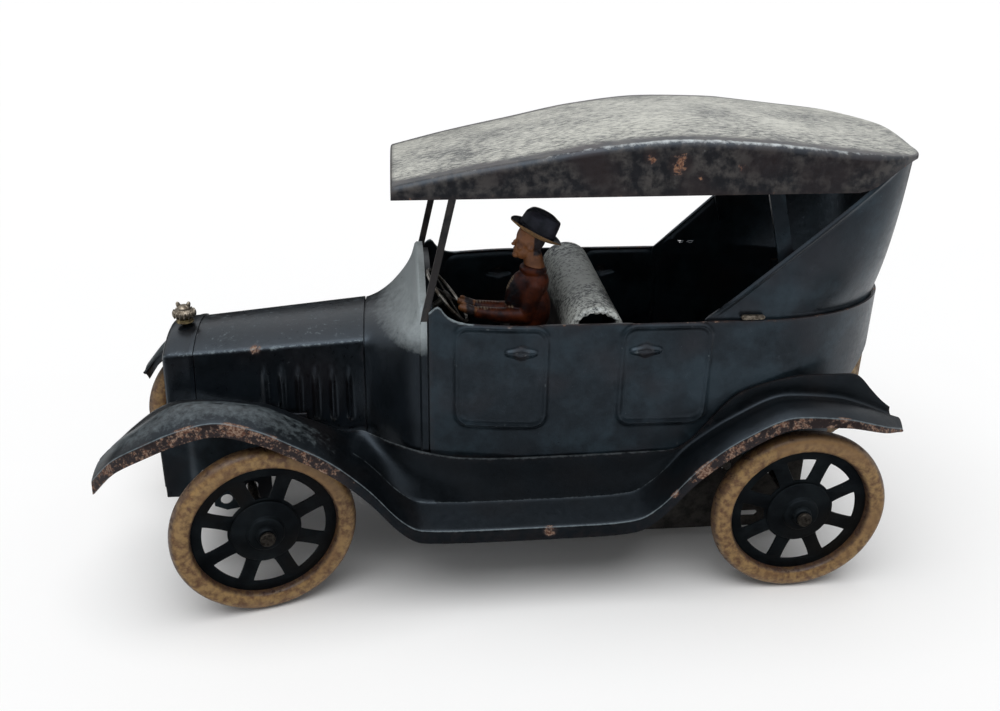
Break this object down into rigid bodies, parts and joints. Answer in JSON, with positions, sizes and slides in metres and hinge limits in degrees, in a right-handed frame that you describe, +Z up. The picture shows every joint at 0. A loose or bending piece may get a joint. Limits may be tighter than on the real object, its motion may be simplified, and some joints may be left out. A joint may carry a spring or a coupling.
{
  "type": "tin wind-up toy car",
  "caption": "Clockwork toy touring car of pressed tin with a fixed top, spoked wheels, a steered front axle, a seated driver and a winding key.",
  "frame": {"origin": "on the floor, under the middle of the car's length and width", "axes": "+X points to the car's front, +Y to its left side and +Z up"},
  "size_m": [0.1634, 0.0686, 0.0957],
  "materials": {
    "black_enamel": "black baked enamel on tinplate, worn and chipped to rust at the edges",
    "faded_enamel": "enamel faded and rubbed to a streaky pale grey-brown",
    "tan_enamel": "tan enamel, soiled and worn",
    "wheel_enamel": "black enamel, dusty",
    "radiator_enamel": "black enamel over a fine pressed mesh",
    "worn_enamel": "enamel rubbed pale on the seat rolls",
    "litho_brown": "printed tin, brown and ochre, satin",
    "steel": "plain steel, lightly tarnished",
    "brass": "dull brass",
    "rusted_tinplate": "bare tinplate with tan and olive rust"
  },
  "bodies": {
    "chassis": {"chassis_pan": "black_enamel", "left_body_side": "black_enamel", "right_body_side": "black_enamel", "body_back_panel": "rusted_tinplate", "left_fender_board": "black_enamel", "right_fender_board": "black_enamel", "hood": "black_enamel", "radiator_shell": "black_enamel", "radiator_core": "radiator_enamel", "filler_cap": "brass", "cowl": "black_enamel", "dashboard": "black_enamel", "left_windshield_post": "black_enamel", "right_windshield_post": "black_enamel", "roof": "faded_enamel", "rear_quarter_panel": "black_enamel", "left_bow_strut": "black_enamel", "right_bow_strut": "black_enamel", "left_panel_tab": "rusted_tinplate", "right_panel_tab": "rusted_tinplate", "front_seat": "worn_enamel", "rear_seat": "worn_enamel", "steering_column": "steel", "steering_wheel": "steel", "driver": "litho_brown", "motor_left_plate": "steel", "motor_right_plate": "steel", "front_upper_pillar": "brass", "front_lower_pillar": "brass", "rear_pillar": "brass", "mainspring": "steel", "lever_rivet": "steel"},
    "rear_axle": {"rear_axle": "steel", "axle_pinion": "brass", "rear_left_tyre": "tan_enamel", "rear_left_disc": "wheel_enamel", "rear_left_hub_cap": "wheel_enamel", "rear_right_tyre": "tan_enamel", "rear_right_disc": "wheel_enamel", "rear_right_hub_cap": "wheel_enamel"},
    "intermediate": {"intermediate_arbor": "steel", "intermediate_wheel": "brass", "intermediate_pinion": "brass"},
    "great_wheel": {"great_wheel": "brass", "click_rivet": "steel"},
    "winding_arbor": {"winding_arbor": "steel", "winding_key": "brass", "ratchet_wheel": "steel"},
    "click": {"click": "steel"},
    "stop_lever": {"stop_lever": "steel"},
    "front_bracket": {"front_axle_bracket": "black_enamel", "steering_rivet": "steel", "front_axle": "steel"},
    "front_left_wheel": {"front_left_tyre": "tan_enamel", "front_left_disc": "wheel_enamel", "front_left_hub_cap": "wheel_enamel"},
    "front_right_wheel": {"front_right_tyre": "tan_enamel", "front_right_disc": "wheel_enamel", "front_right_hub_cap": "wheel_enamel"}
  },
  "joints": [
    {"name": "rear_axle_spin", "type": "hinge", "parent": "chassis", "child": "rear_axle", "pos_m": [-0.0604, 0, 0.0185], "axis": [0, 1, 0], "continuous": true},
    {"name": "intermediate_spin", "type": "hinge", "parent": "chassis", "child": "intermediate", "pos_m": [-0.04975, 0, 0.02028], "axis": [0, 1, 0], "continuous": true},
    {"name": "great_wheel_spin", "type": "hinge", "parent": "chassis", "child": "great_wheel", "pos_m": [-0.0368, 0, 0.0155], "axis": [0, 1, 0], "continuous": true},
    {"name": "winding_spin", "type": "hinge", "parent": "great_wheel", "child": "winding_arbor", "pos_m": [-0.0368, 0, 0.0155], "axis": [0, 1, 0], "continuous": true},
    {"name": "click_swing", "type": "hinge", "parent": "great_wheel", "child": "click", "pos_m": [-0.0313, 0.003, 0.0218], "axis": [0, 1, 0], "range_deg": [-15, 0]},
    {"name": "stop_lever_swing", "type": "hinge", "parent": "chassis", "child": "stop_lever", "pos_m": [-0.0448, -0.0136, 0.007], "axis": [0, 1, 0], "range_deg": [0, 18]},
    {"name": "front_steer", "type": "hinge", "parent": "chassis", "child": "front_bracket", "pos_m": [0.0566, 0, 0.0185], "axis": [0, 0, 1], "range_deg": [-30, 3]},
    {"name": "front_left_spin", "type": "hinge", "parent": "front_bracket", "child": "front_left_wheel", "pos_m": [0.0566, 0, 0.0185], "axis": [-0.2588, 0.9659, 0], "continuous": true},
    {"name": "front_right_spin", "type": "hinge", "parent": "front_bracket", "child": "front_right_wheel", "pos_m": [0.0566, 0, 0.0185], "axis": [-0.2588, 0.9659, 0], "continuous": true}
  ],
  "couplings": [
    {"joint": "intermediate_spin", "follows": "rear_axle_spin", "ratio": -0.5},
    {"joint": "great_wheel_spin", "follows": "rear_axle_spin", "ratio": 0.17647}
  ]
}
